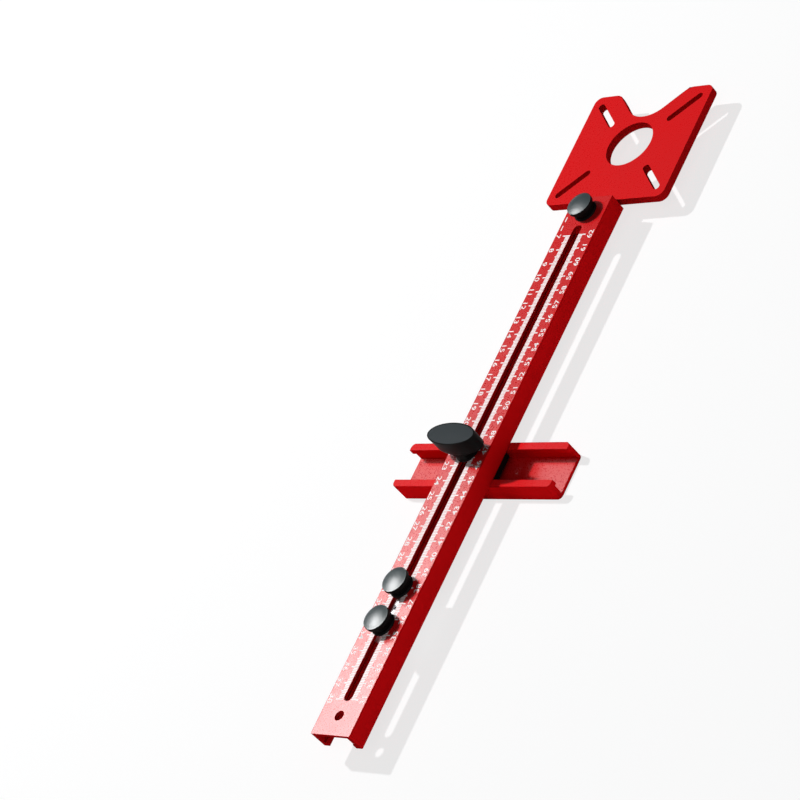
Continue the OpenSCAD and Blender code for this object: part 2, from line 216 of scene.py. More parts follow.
def makeBlastGrain():
    # fine pits of a blasted or moulded face, with a few flat facets among them
    group, source, sink = newGroup(
        "blastGrain",
        [("Vector", "NodeSocketVector", None), ("Size", "NodeSocketFloat", 0.0005),
         ("Sparkle", "NodeSocketFloat", 0.7)],
        ["Height", "Facets"])
    scale = addPerMetre(group, source.outputs["Size"], (-700, -150))
    pits = addNode(group, "ShaderNodeTexNoise", (-450, 150))
    setInputs(pits, Detail=grainMake["detail"], Roughness=grainMake["roughness"])
    cells = addNode(group, "ShaderNodeTexVoronoi", (-450, -200))
    tone = addNode(group, "ShaderNodeSeparateColor", (-200, -200))
    cut = addNode(group, "ShaderNodeMapRange", (50, -200))
    both = addNode(group, "ShaderNodeMath", (300, 100), operation="MULTIPLY_ADD")
    both.inputs[1].default_value = grainMake["cellShare"]
    for texture in (pits, cells):
        group.links.new(source.outputs["Vector"], texture.inputs["Vector"])
        group.links.new(scale, texture.inputs["Scale"])
    group.links.new(cells.outputs["Color"], tone.inputs["Color"])
    group.links.new(tone.outputs["Red"], cut.inputs["Value"])
    group.links.new(source.outputs["Sparkle"], cut.inputs["From Min"])
    group.links.new(tone.outputs["Green"], both.inputs[0])
    group.links.new(pits.outputs["Fac"], both.inputs[2])
    group.links.new(both.outputs[0], sink.inputs["Height"])
    group.links.new(cut.outputs["Result"], sink.inputs["Facets"])
    return group


def makeHandling():
    # broad uneven patches that handling leaves on a finish
    group, source, sink = newGroup(
        "handling",
        [("Vector", "NodeSocketVector", None), ("Size", "NodeSocketFloat", 0.03),
         ("Low", "NodeSocketFloat", 0.4), ("High", "NodeSocketFloat", 0.5)],
        ["Value", "Mask"])
    scale = addPerMetre(group, source.outputs["Size"], (-700, -150))
    patches = addNode(group, "ShaderNodeTexNoise", (-450, 0))
    setInputs(patches, Detail=patchMake["detail"], Roughness=patchMake["roughness"])
    mask = addNode(group, "ShaderNodeMapRange", (-150, -200))
    setInputs(mask, From_Min=patchMake["maskStart"], From_Max=patchMake["maskEnd"])
    spread = addNode(group, "ShaderNodeMapRange", (100, 100))
    group.links.new(source.outputs["Vector"], patches.inputs["Vector"])
    group.links.new(scale, patches.inputs["Scale"])
    group.links.new(patches.outputs["Fac"], mask.inputs["Value"])
    group.links.new(mask.outputs["Result"], spread.inputs["Value"])
    group.links.new(source.outputs["Low"], spread.inputs["To Min"])
    group.links.new(source.outputs["High"], spread.inputs["To Max"])
    group.links.new(spread.outputs["Result"], sink.inputs["Value"])
    group.links.new(mask.outputs["Result"], sink.inputs["Mask"])
    return group


def makeToolMarks():
    # fine parallel lines of a milled or turned surface
    group, source, sink = newGroup(
        "toolMarks",
        [("Vector", "NodeSocketVector", None), ("Pitch", "NodeSocketFloat", 0.0004),
         ("Stretch", "NodeSocketVector", (1.0, 0.03, 1.0))],
        ["Height"])
    scale = addPerMetre(group, source.outputs["Pitch"], (-700, -150))
    along = addNode(group, "ShaderNodeVectorMath", (-650, 150), operation="MULTIPLY")
    lines = addNode(group, "ShaderNodeTexNoise", (-350, 0))
    setInputs(lines, Detail=lineMake["detail"], Roughness=lineMake["roughness"])
    group.links.new(source.outputs["Vector"], along.inputs[0])
    group.links.new(source.outputs["Stretch"], along.inputs[1])
    group.links.new(along.outputs[0], lines.inputs["Vector"])
    group.links.new(scale, lines.inputs["Scale"])
    group.links.new(lines.outputs["Fac"], sink.inputs["Height"])
    return group


def makeUpFacing():
    # picks a painted tone by whether a face is a side, a rounded edge or a top: it stands in for how the
    # light falls
    group, source, sink = newGroup(
        "paintedFacingTone",
        [("Normal", "NodeSocketVector", None), ("Side", "NodeSocketFloat", 0.0),
         ("Edge", "NodeSocketFloat", 0.0), ("Top", "NodeSocketFloat", 0.5)],
        ["Value"])
    axes = addNode(group, "ShaderNodeSeparateXYZ", (-600, 100))
    low = addNode(group, "ShaderNodeMapRange", (-300, 150))
    setInputs(low, From_Min=slopeMake["sideEnd"], From_Max=slopeMake["edgeStart"])
    high = addNode(group, "ShaderNodeMapRange", (0, 0))
    setInputs(high, From_Min=slopeMake["edgeEnd"], From_Max=slopeMake["topStart"])
    group.links.new(source.outputs["Normal"], axes.inputs[0])
    for pick in (low, high):
        group.links.new(axes.outputs["Z"], pick.inputs["Value"])
    group.links.new(source.outputs["Side"], low.inputs["To Min"])
    group.links.new(source.outputs["Edge"], low.inputs["To Max"])
    group.links.new(low.outputs["Result"], high.inputs["To Min"])
    group.links.new(source.outputs["Top"], high.inputs["To Max"])
    group.links.new(high.outputs["Result"], sink.inputs["Value"])
    return group


blastGrain = makeBlastGrain()
handling = makeHandling()
toolMarks = makeToolMarks()
paintedFacingTone = makeUpFacing()


# Finishes
def startFinish(name, plain):
    finish = bpy.data.materials.new(name)
    finish.use_nodes = True
    shader = finish.node_tree.nodes["Principled BSDF"]
    shader.location = (600, 0)
    setInputs(shader, **plain)
    where = addNode(finish.node_tree, "ShaderNodeTexCoord", (-900, 0))
    return finish, finish.node_tree, shader, where


def addEffect(tree, group, where, place, **values):
    node = addNode(tree, "ShaderNodeGroup", place, node_tree=group)
    tree.links.new(where, node.inputs[0])
    setInputs(node, **values)
    return node


def tintPatches(tree, shader, patches, colours):
    tint = addNode(tree, "ShaderNodeMix", (0, 300), data_type="RGBA")
    for socket, colour in zip((mixSockets["first"], mixSockets["second"]), colours):
        tint.inputs[socket].default_value = (*colour, 1)
    tree.links.new(patches.outputs["Mask"], tint.inputs[0])
    tinted = tint.outputs[mixSockets["result"]]
    tree.links.new(tinted, shader.inputs["Base Color"])
    return tinted


def addBump(tree, shader, height, depth, strength):
    bump = addNode(tree, "ShaderNodeBump", (300, -300))
    setInputs(bump, Distance=depth, Strength=strength)
    tree.links.new(height, bump.inputs["Height"])
    tree.links.new(bump.outputs["Normal"], shader.inputs["Normal"])


def makeGrained(name, look):
    finish, tree, shader, where = startFinish(name, look["plain"])
    grain = addEffect(tree, blastGrain, where.outputs["Object"], (-500, -250),
                      Size=look["grainSize"], Sparkle=look["sparkle"])
    patches = addEffect(tree, handling, where.outputs["Object"], (-500, 250),
                        Size=look["patchSize"], Low=look["rough"][0], High=look["rough"][1])
    colour = tintPatches(tree, shader, patches, look["colours"])
    glint = addNode(tree, "ShaderNodeMath", (0, 0), operation="MULTIPLY_ADD")
    glint.inputs[1].default_value = look["facetRough"]
    tree.links.new(grain.outputs["Facets"], glint.inputs[0])
    tree.links.new(patches.outputs["Value"], glint.inputs[2])
    tree.links.new(glint.outputs[0], shader.inputs["Roughness"])
    addBump(tree, shader, grain.outputs["Height"], look["grainDepth"], look["grainStrength"])
    # painted light and shade: the side tone lightens the side walls and the edge tone darkens the rounded
    # edges
    if "paintedSideTone" in look:
        tone = addEffect(tree, paintedFacingTone, where.outputs["Normal"], (0, 500),
                         Side=look["paintedSideTone"], Edge=look["paintedEdgeShade"], Top=1.0)
        shade = addNode(tree, "ShaderNodeMix", (300, 300), data_type="RGBA", blend_type="MULTIPLY")
        shade.inputs[0].default_value = 1.0
        tree.links.new(colour, shade.inputs[mixSockets["first"]])
        tree.links.new(tone.outputs["Value"], shade.inputs[mixSockets["second"]])
        tree.links.new(shade.outputs[mixSockets["result"]], shader.inputs["Base Color"])
    return finish


def makeMetal(name, look):
    finish, tree, shader, where = startFinish(name, {"Metallic": 1.0})
    lines = addEffect(tree, toolMarks, where.outputs["Object"], (-500, -250),
                      Pitch=look["pitch"], Stretch=look["stretch"])
    patches = addEffect(tree, handling, where.outputs["Object"], (-500, 250),
                        Size=look["patchSize"], Low=look["rough"][0], High=look["rough"][1])
    tintPatches(tree, shader, patches, look["colours"])
    tree.links.new(patches.outputs["Value"], shader.inputs["Roughness"])
    addBump(tree, shader, lines.outputs["Height"], look["lineDepth"], look["lineStrength"])
    return finish


# the side and edge tones below are painted light on the side walls and painted shade on the rounded edges
redLook = {
    "colours": ((0.665, 0.004, 0.006), (0.635, 0.004, 0.006)), "rough": (0.29, 0.31),
    "plain": {"IOR": 2.2, "Specular IOR Level": 0.0},
    "grainSize": 0.0005, "sparkle": 0.70, "facetRough": -0.05, "grainDepth": 0.00003, "grainStrength": 0.35,
    "patchSize": 0.03, "paintedSideTone": 1.02, "paintedEdgeShade": 0.75, "topShine": 0.49,
}
plateLook = {
    **redLook, "colours": ((0.695, 0.006, 0.008), (0.675, 0.006, 0.008)), "topShine": 0.19,
    "grainStrength": 0.12,
}
# a darker copy of the red for the rail's channel, slot and ends and the plate's rim: painted shade
paintedShadeLook = {
    **redLook, "colours": ((0.36, 0.003, 0.004), (0.34, 0.003, 0.004)), "paintedSideTone": 1.2, "paintedEdgeShade": 1.0,
}
lipLook = {
    **redLook, "colours": ((0.70, 0.009, 0.012), (0.68, 0.008, 0.011)), "topShine": 0.06,
    "grainSize": 0.0003, "grainStrength": 0.1,
}
printLook = {
    "colours": ((0.94, 0.93, 0.93), (0.91, 0.90, 0.90)), "rough": (0.42, 0.50),
    "plain": {"Specular IOR Level": 0.15},
    "grainSize": 0.0003, "sparkle": 0.8, "facetRough": 0.0, "grainDepth": 0.00001, "grainStrength": 0.2,
    "patchSize": 0.01,
}
plasticLook = {
    "colours": ((0.006, 0.006, 0.006), (0.009, 0.009, 0.009)), "rough": (0.40, 0.48),
    "plain": {"Specular IOR Level": 0.03},
    "grainSize": 0.0003, "sparkle": 0.8, "facetRough": -0.05, "grainDepth": 0.00002, "grainStrength": 0.3,
    "patchSize": 0.012,
}
coverLook = {
    **plasticLook, "colours": ((0.039, 0.046, 0.050), (0.042, 0.049, 0.053)), "rough": (0.46, 0.54),
    "plain": {"Specular IOR Level": 0.045},
}
capLook = {
    "colours": ((0.030, 0.046, 0.050), (0.034, 0.050, 0.054)), "rough": (0.37, 0.39),
    "plain": {"IOR": 2.2, "Specular IOR Level": 0.41},
    "grainSize": 0.003, "sparkle": 0.95, "facetRough": 0.0, "grainDepth": 0.00001, "grainStrength": 0.03,
    "patchSize": 0.01,
}
oxideLook = {
    **plasticLook, "colours": ((0.012, 0.012, 0.013), (0.020, 0.019, 0.019)), "rough": (0.34, 0.44),
    "patchSize": 0.006,
}
aluminiumLook = {
    "colours": ((0.84, 0.85, 0.86), (0.79, 0.80, 0.81)), "rough": (0.34, 0.42), "patchSize": 0.012,
    "pitch": 0.0004, "stretch": (1.0, 0.03, 1.0), "lineDepth": 0.00001, "lineStrength": 0.25,
}
steelLook = {
    "colours": ((0.62, 0.63, 0.66), (0.55, 0.56, 0.60)), "rough": (0.26, 0.36), "patchSize": 0.008,
    "pitch": 0.0003, "stretch": (1.0, 1.0, 0.1), "lineDepth": 0.00001, "lineStrength": 0.2,
}


def makeSheen(name, look):
    # the same finish for the flat tops, which shine where the sides are matt
    return makeGrained(name, {**look, "plain": {**look["plain"], "Specular IOR Level": look["topShine"]}})


redFinish = makeGrained("redAnodised", redLook)
lipFinish = makeGrained("redLips", lipLook)
plateFinish = makeGrained("redPlate", plateLook)
paintedShadeFinish = makeGrained("redPaintedShade", paintedShadeLook)
sheenOf = {
    redFinish: makeSheen("redAnodisedTop", redLook),
    lipFinish: makeSheen("redLipsTop", lipLook),
    plateFinish: makeSheen("redPlateTop", plateLook),
}
printFinish = makeGrained("whitePrint", printLook)
finishOfSlot = {
    "red_anodised": redFinish,
    "bright_aluminium": makeMetal("brightAluminium", aluminiumLook),
    "zinc_steel": makeMetal("zincSteel", steelLook),
    "black_oxide": makeGrained("blackOxide", oxideLook),
    "black_plastic": makeGrained("blackPlastic", plasticLook),
    "grey_cover": makeGrained("greyCover", coverLook),
    "gloss_cap": makeGrained("glossCap", capLook),
}
for node, solid in cadNodes.items():
    solid.data.materials.clear()
    solid.data.materials.append(finishOfSlot[slotOfNode[node]])
print("finishes ready")


# Building helpers
meshMake = {"mergeGap": 1e-7, "sharpAngle": 35, "fineAngle": 50, "turnSteps": 96, "cornerSteps": 4}


def keepPiece(name, mesh, node, stands=True):
    piece = bpy.data.objects.new(name, mesh)
    scene.collection.objects.link(piece)
    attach(piece, bodyOfNode[node])
    if stands:
        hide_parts(node)


def bakeMesh(holder):
    graph = bpy.context.evaluated_depsgraph_get()
    made = bpy.data.meshes.new_from_object(
        holder.evaluated_get(graph), preserve_all_data_layers=True, depsgraph=graph)
    made.name = holder.name
    bpy.data.objects.remove(holder)
    return made


def shadeByAngle(mesh, degrees):
    for face in mesh.polygons:
        face.use_smooth = True
    mesh.set_sharp_from_angle(angle=math.radians(degrees))


def finishMesh(name, shape, finish, degrees=meshMake["sharpAngle"]):
    bmesh.ops.recalc_face_normals(shape, faces=shape.faces)
    mesh = bpy.data.meshes.new(name)
    shape.to_mesh(mesh)
    shape.free()
    mesh.materials.append(finish)
    shadeByAngle(mesh, degrees)
    return mesh


def joinMeshes(name, meshes, finish):
    shape = bmesh.new()
    for mesh in meshes:
        shape.from_mesh(mesh)
        bpy.data.meshes.remove(mesh)
    for face in shape.faces:
        face.material_index = 0
    joined = bpy.data.meshes.new(name)
    shape.to_mesh(joined)
    shape.free()
    joined.materials.append(finish)
    return joined


def roundCorners(points):
    # a closed outline of (across, height, corner radius) with each corner turned into an arc
    outline = []
    steps = meshMake["cornerSteps"]
    count = len(points)
    for k in range(count):
        corner = Vector(points[k][:2])
        radius = points[k][2]
        if radius == 0:
            outline.append(corner)
            continue
        toLast = (Vector(points[k - 1][:2]) - corner).normalized()
        toNext = (Vector(points[(k + 1) % count][:2]) - corner).normalized()
        half = toLast.angle(toNext) / 2
        middle = corner + (toLast + toNext).normalized() * radius / math.sin(half)
        start = (corner + toLast * radius / math.tan(half) - middle).normalized()
        end = (corner + toNext * radius / math.tan(half) - middle).normalized()
        for step in range(steps + 1):
            outline.append(middle + radius * start.slerp(end, step / steps))
    return outline


def turnOutline(name, outline, centre, finish, steps=meshMake["turnSteps"]):
    # a closed outline of (radius, height) turned about an upright axis
    shape = bmesh.new()
    rings = []
    for radius, height in outline:
        if radius < meshMake["mergeGap"]:
            rings.append([shape.verts.new((centre[0], centre[1], height))])
            continue
        turns = [2 * math.pi * k / steps for k in range(steps)]
        spots = [(radius * math.cos(t), radius * math.sin(t)) for t in turns]
        rings.append([shape.verts.new((centre[0] + x, centre[1] + y, height)) for x, y in spots])
    for k in range(len(rings)):
        low, high = rings[k], rings[(k + 1) % len(rings)]
        if len(low) == 1 and len(high) == 1:
            continue
        for j in range(steps):
            corners = [low[j % len(low)], low[(j + 1) % len(low)],
                       high[(j + 1) % len(high)], high[j % len(high)]]
            shape.faces.new(list(dict.fromkeys(corners)))
    return finishMesh(name, shape, finish)


def boxSpan(node):
    # half width, middle, bottom and top of a node
    low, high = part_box(node)
    return (high.x - low.x) / 2, (low + high) / 2, low.z, high.z


def newTree(name, inputs):
    tree = bpy.data.node_groups.new(name, "GeometryNodeTree")
    tree.interface.new_socket("Geometry", in_out="OUTPUT", socket_type="NodeSocketGeometry")
    for label, kind in inputs.items():
        tree.interface.new_socket(label, in_out="INPUT", socket_type="NodeSocket" + kind)
    source = addNode(tree, "NodeGroupInput", (-1200, 0))
    sink = addNode(tree, "NodeGroupOutput", (1200, 0))
    return tree, source, sink


def closeTree(tree, source, sink, geometry):
    real = addNode(tree, "GeometryNodeRealizeInstances", (800, 0))
    paint = addNode(tree, "GeometryNodeSetMaterial", (1000, 0))
    tree.links.new(geometry, real.inputs["Geometry"])
    tree.links.new(real.outputs["Geometry"], paint.inputs["Geometry"])
    tree.links.new(source.outputs["Finish"], paint.inputs["Material"])
    tree.links.new(paint.outputs["Geometry"], sink.inputs["Geometry"])


def runTree(name, tree, values):
    holder = bpy.data.objects.new(name, bpy.data.meshes.new(name))
    scene.collection.objects.link(holder)
    build = holder.modifiers.new("build", "NODES")
    build.node_group = tree
    for item in tree.interface.items_tree:
        if item.in_out == "INPUT":
            build[item.identifier] = values[item.name]
    return bakeMesh(holder)


def addMath(tree, operation, first, second):
    node = addNode(tree, "ShaderNodeMath", operation=operation)
    for index, value in enumerate((first, second)):
        if isinstance(value, (int, float)):
            node.inputs[index].default_value = value
        else:
            tree.links.new(value, node.inputs[index])
    return node.outputs[0]


def addVector(tree, **parts):
    node = addNode(tree, "ShaderNodeCombineXYZ")
    for axis, value in parts.items():
        tree.links.new(value, node.inputs[axis])
    return node.outputs[0]


# Stock with its sharp edges broken: rails, plate, blocks, pin and screws
edgeBreaks = {
    "main_rail": 0.00010, "router_plate": 0.00012, "fence_rail": 0.00015,
    "pivot_block": 0.00010, "fence_t_nut": 0.00020, "tongue_block": 0.00020,
    "pivot_pin": 0.00010, "tongue_screws": 0.00008,
}
stockMake = {"edgeAngle": 30, "edgeSteps": 2, "flatAngle": 0.2}
ownFinish = {"router_plate": plateFinish}
splitFaces = ("router_plate",)    # its notched outline fills wrongly as one many-sided face


def breakEdges(node, width):
    name = node + "_stock"
    finish = ownFinish.get(node, finishOfSlot[slotOfNode[node]])
    shape = bmesh.new()
    shape.from_mesh(cadNodes[node].data)
    bmesh.ops.remove_doubles(shape, verts=shape.verts, dist=meshMake["mergeGap"])
    flat = math.radians(stockMake["flatAngle"])
    bmesh.ops.dissolve_limit(shape, angle_limit=flat, verts=shape.verts, edges=shape.edges)
    if node in splitFaces:
        bmesh.ops.triangulate(shape, faces=shape.faces)
    mesh = finishMesh(name, shape, finish, stockMake["edgeAngle"])
    holder = bpy.data.objects.new(name, mesh)
    scene.collection.objects.link(holder)
    bevel = holder.modifiers.new("edges", "BEVEL")
    bevel.width = width
    bevel.segments = stockMake["edgeSteps"]
    bevel.use_clamp_overlap = node not in splitFaces
    bevel.limit_method = "ANGLE"
    bevel.angle_limit = math.radians(stockMake["edgeAngle"])
    shade = holder.modifiers.new("shade", "WEIGHTED_NORMAL")
    shade.keep_sharp = True
    return bakeMesh(holder)


# Which faces of a piece take another finish: depths in metres, slopes as a share of the face's normal
faceRules = {"lipBand": 0.0001, "wall": 0.0034, "endSlope": 0.9, "rimSlope": 0.5, "topSlope": 0.9999}


def inLips(face, low, high):
    return face.center.z > high.z - edgeBreaks["fence_rail"]


def inChannel(face, low, high):
    # ends, slot and inner faces, which take the darker red as painted shade
    deep = low.z + faceRules["lipBand"] < face.center.z < high.z - edgeBreaks["main_rail"]
    inside = abs(face.center.x) < high.x - faceRules["wall"]
    return deep and (inside or abs(face.normal.y) > faceRules["endSlope"])


def onRim(face, low, high):
    return abs(face.normal.z) < faceRules["rimSlope"]


# the rail's channel, slot and ends and the plate's rim take the darker red as painted shade; the fence's
# lip tops take the lip finish
otherFaces = {
    "fence_rail": (lipFinish, inLips),
    "main_rail": (paintedShadeFinish, inChannel),
    "router_plate": (paintedShadeFinish, onRim),
}


def paintFaces(node, mesh):
    base = mesh.materials[0]
    low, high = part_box(node)
    other, holds = otherFaces.get(node, (base, None))
    finishes = [base]
    for face in mesh.polygons:
        finish = other if holds and holds(face, low, high) else base
        if face.normal.z > faceRules["topSlope"]:
            finish = sheenOf.get(finish, finish)
        if finish not in finishes:
            finishes.append(finish)
        face.material_index = finishes.index(finish)
    for finish in finishes[1:]:
        mesh.materials.append(finish)


for node, width in edgeBreaks.items():
    stock = breakEdges(node, width)
    paintFaces(node, stock)
    keepPiece(node + "_stock", stock, node)
print("stock ready")

# Printed scale: strokes each millimetre, longer at five and ten, with two rows of numbers
scalePrint = {
    "firstNumber": 7, "lastNumber": 38, "sumOfPair": 69,
    "numberStep": 0.010, "strokesPerNumber": 10, "middleEvery": 5,
    "zeroY": -0.0032, "rightShift": 0.00031, "leftSide": -0.00018, "rightSide": 0.0,
    "inner": 0.0031, "short": 0.00625, "middle": 0.00700, "long": 0.00850,
    "strokeWidth": 0.00074, "inkRise": 0.00002, "inkDepth": 0.00003,
    "digitHeight": 0.0034, "digitStretch": 1.3, "digitBold": 0.00004, "digitSteps": 3, "probeSize": 0.005,
    "leftColumn": -0.0124, "rightColumn": 0.0120,
}
edgeMarks = {
    "count": 2, "firstY": -0.0609, "step": -0.0063, "length": 0.0036, "width": 0.0007, "column": 0.0125,
}
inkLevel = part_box("main_rail")[1].z + scalePrint["inkRise"] - scalePrint["inkDepth"] / 2


def makeStrokeTree():
    tree, source, sink = newTree("scaleStrokes", {
        "Count": "Int", "Start": "Float", "Step": "Float", "Inner": "Float", "Short": "Float",
        "Middle": "Float", "Long": "Float", "Width": "Float", "Depth": "Float", "Level": "Float",
        "Side": "Float", "Shift": "Float", "Finish": "Material"})
    given = source.outputs
    row = addNode(tree, "GeometryNodeMeshLine", (-650, 200), mode="OFFSET")
    tree.links.new(given["Count"], row.inputs["Count"])
    tree.links.new(addVector(tree, Y=given["Start"], Z=given["Level"]), row.inputs["Start Location"])
    tree.links.new(addVector(tree, Y=given["Step"]), row.inputs["Offset"])
    index = addNode(tree, "GeometryNodeInputIndex", (-900, -200)).outputs[0]
    reach = given["Short"]
    for every, longer in (("middleEvery", given["Middle"]), ("strokesPerNumber", given["Long"])):
        pick = addNode(tree, "GeometryNodeSwitch", (-300, -200), input_type="FLOAT")
        turn = addMath(tree, "LESS_THAN", addMath(tree, "MODULO", index, scalePrint[every]), 0.5)
        tree.links.new(turn, pick.inputs["Switch"])
        tree.links.new(reach, pick.inputs["False"])
        tree.links.new(longer, pick.inputs["True"])
        reach = pick.outputs[0]
    length = addMath(tree, "SUBTRACT", reach, given["Inner"])
    centre = addMath(tree, "MULTIPLY", addMath(tree, "ADD", reach, given["Inner"]), 0.5)
    across = addMath(tree, "ADD", addMath(tree, "MULTIPLY", centre, given["Side"]), given["Shift"])
    move = addNode(tree, "GeometryNodeSetPosition", (250, 200))
    tree.links.new(row.outputs["Mesh"], move.inputs["Geometry"])
    tree.links.new(addVector(tree, X=across), move.inputs["Offset"])
    stroke = addNode(tree, "GeometryNodeMeshCube", (300, -400))
    place = addNode(tree, "GeometryNodeInstanceOnPoints", (550, 100))
    tree.links.new(move.outputs["Geometry"], place.inputs["Points"])
    tree.links.new(stroke.outputs["Mesh"], place.inputs["Instance"])
    tree.links.new(addVector(tree, X=length, Y=given["Width"], Z=given["Depth"]), place.inputs["Scale"])
    closeTree(tree, source, sink, place.outputs["Instances"])
    return tree


def digitMesh(text, size):
    curve = bpy.data.curves.new("digits", "FONT")
    curve.body = text
    curve.size = size
    curve.resolution_u = scalePrint["digitSteps"]
    curve.extrude = scalePrint["inkDepth"] / 2
    curve.offset = scalePrint["digitBold"]
    holder = bpy.data.objects.new("digits", curve)
    scene.collection.objects.link(holder)
    made = bakeMesh(holder)
    bpy.data.curves.remove(curve)
    low = Vector([min(v.co[k] for v in made.vertices) for k in range(3)])
    high = Vector([max(v.co[k] for v in made.vertices) for k in range(3)])
    made.transform(Matrix.Translation(-(low + high) / 2))
    return made, high.y - low.y


def makeNumbers():
    probeSize = scalePrint["probeSize"]
    probe, probeHeight = digitMesh("8", probeSize)
    bpy.data.meshes.remove(probe)
    bold = 2 * scalePrint["digitBold"]
    size = probeSize * (scalePrint["digitHeight"] - bold) / (probeHeight - bold)
    stretch = Matrix.Diagonal((scalePrint["digitStretch"], 1, 1, 1))
    digits = []
    for n in range(scalePrint["firstNumber"], scalePrint["lastNumber"] + 1):
        y = scalePrint["zeroY"] - scalePrint["numberStep"] * n
        pair = scalePrint["sumOfPair"] - n
        for number, x, shift, turn in ((n, scalePrint["leftColumn"], 0, -90),
                                       (pair, scalePrint["rightColumn"], scalePrint["rightShift"], 90)):
            made = digitMesh(str(number), size)[0]
            place = Matrix.Translation((x, y + shift, inkLevel))
            made.transform(place @ Matrix.Rotation(math.radians(turn), 4, "Z") @ stretch)
            digits.append(made)
    return joinMeshes("scaleNumbers", digits, printFinish)


strokeTree = makeStrokeTree()
strokeValues = {
    "Count": (scalePrint["lastNumber"] - scalePrint["firstNumber"]) * scalePrint["strokesPerNumber"] + 1,
    "Step": -scalePrint["numberStep"] / scalePrint["strokesPerNumber"],
    "Level": inkLevel, "Finish": printFinish,
    "Inner": scalePrint["inner"], "Short": scalePrint["short"], "Middle": scalePrint["middle"],
    "Long": scalePrint["long"], "Width": scalePrint["strokeWidth"], "Depth": scalePrint["inkDepth"],
}
firstStroke = scalePrint["zeroY"] - scalePrint["numberStep"] * scalePrint["firstNumber"]
for name, side, across, along in (("scaleStrokesLeft", -1.0, "leftSide", 0.0),
                                  ("scaleStrokesRight", 1.0, "rightSide", scalePrint["rightShift"])):
    strokes = runTree(name, strokeTree, {
        **strokeValues, "Side": side, "Shift": scalePrint[across], "Start": firstStroke + along})
    keepPiece(name, strokes, "main_rail", stands=False)
markOuter = edgeMarks["column"] + edgeMarks["width"] / 2
marks = runTree("edgeMarks", strokeTree, {
    **strokeValues, "Count": edgeMarks["count"], "Side": -1.0, "Shift": 0.0,
    "Start": edgeMarks["firstY"], "Step": edgeMarks["step"],
    "Inner": markOuter - edgeMarks["width"], "Short": markOuter, "Middle": markOuter, "Long": markOuter,
    "Width": edgeMarks["length"]})
keepPiece("edgeMarks", marks, "main_rail", stands=False)
keepPiece("scaleNumbers", makeNumbers(), "main_rail", stands=False)
print("scale printed")

# Small knobs: domed cap, ribbed neck, washer and threaded stud
knobMake = {
    "domeRise": 0.0013, "capEdge": 0.00025, "edgeShare": 0.4, "glossSlope": 0.8, "capLip": 0.00015,
    "capWall": 0.0012, "roofDrop": 0.0014, "domeSteps": 14,
    "neckRadius": 0.0066, "ribCount": 44, "ribRadius": 0.00022, "ribSides": 8, "neckEdge": 0.0004,
    "bore": 0.00255, "washerEdge": 0.00025,
}
screwMake = {
    "headHeight": 0.003, "headSides": 6, "headChamfer": 0.0003, "shank": 0.0025, "coreSteps": 48,
    "threadPitch": 0.0008, "threadRadius": 0.00030, "threadDepth": 1.2, "threadSteps": 24, "crestSides": 6,
}


def makeRibTree():
    tree, source, sink = newTree("gripRibs", {
        "Count": "Int", "Radius": "Float", "Rib": "Float", "Height": "Float", "Middle": "Vector",
        "Finish": "Material"})
    given = source.outputs
    ring = addNode(tree, "GeometryNodeMeshCircle", (-600, 200))
    rib = addNode(tree, "GeometryNodeMeshCylinder", (-600, -200))
    setInputs(rib, Vertices=knobMake["ribSides"])
    place = addNode(tree, "GeometryNodeInstanceOnPoints", (0, 0))
    move = addNode(tree, "GeometryNodeTransform", (400, 0))
    tree.links.new(given["Count"], ring.inputs["Vertices"])
    tree.links.new(given["Radius"], ring.inputs["Radius"])
    tree.links.new(given["Rib"], rib.inputs["Radius"])
    tree.links.new(given["Height"], rib.inputs["Depth"])
    tree.links.new(ring.outputs["Mesh"], place.inputs["Points"])
    tree.links.new(rib.outputs["Mesh"], place.inputs["Instance"])
    tree.links.new(place.outputs["Instances"], move.inputs["Geometry"])
    tree.links.new(given["Middle"], move.inputs["Translation"])
    closeTree(tree, source, sink, move.outputs["Geometry"])
    return tree


def makeThreadTree():
    tree, source, sink = newTree("screwThread", {
        "Turns": "Float", "Radius": "Float", "Crest": "Float", "Height": "Float", "Base": "Vector",
        "Finish": "Material"})
    given = source.outputs
    helix = addNode(tree, "GeometryNodeCurveSpiral", (-600, 200))
    setInputs(helix, Resolution=screwMake["threadSteps"])
    crest = addNode(tree, "GeometryNodeCurvePrimitiveCircle", (-600, -200))
    setInputs(crest, Resolution=screwMake["crestSides"])
    sweep = addNode(tree, "GeometryNodeCurveToMesh", (0, 0))
    setInputs(sweep, Fill_Caps=True)
    move = addNode(tree, "GeometryNodeTransform", (400, 0))
    tree.links.new(given["Turns"], helix.inputs["Rotations"])
    tree.links.new(given["Radius"], helix.inputs["Start Radius"])
    tree.links.new(given["Radius"], helix.inputs["End Radius"])
    tree.links.new(given["Height"], helix.inputs["Height"])
    tree.links.new(given["Crest"], crest.inputs["Radius"])
    tree.links.new(helix.outputs["Curve"], sweep.inputs["Curve"])
    tree.links.new(crest.outputs["Curve"], sweep.inputs["Profile Curve"])
    tree.links.new(sweep.outputs["Mesh"], move.inputs["Geometry"])
    tree.links.new(given["Base"], move.inputs["Translation"])
    closeTree(tree, source, sink, move.outputs["Geometry"])
    return tree


ribTree = makeRibTree()
threadTree = makeThreadTree()


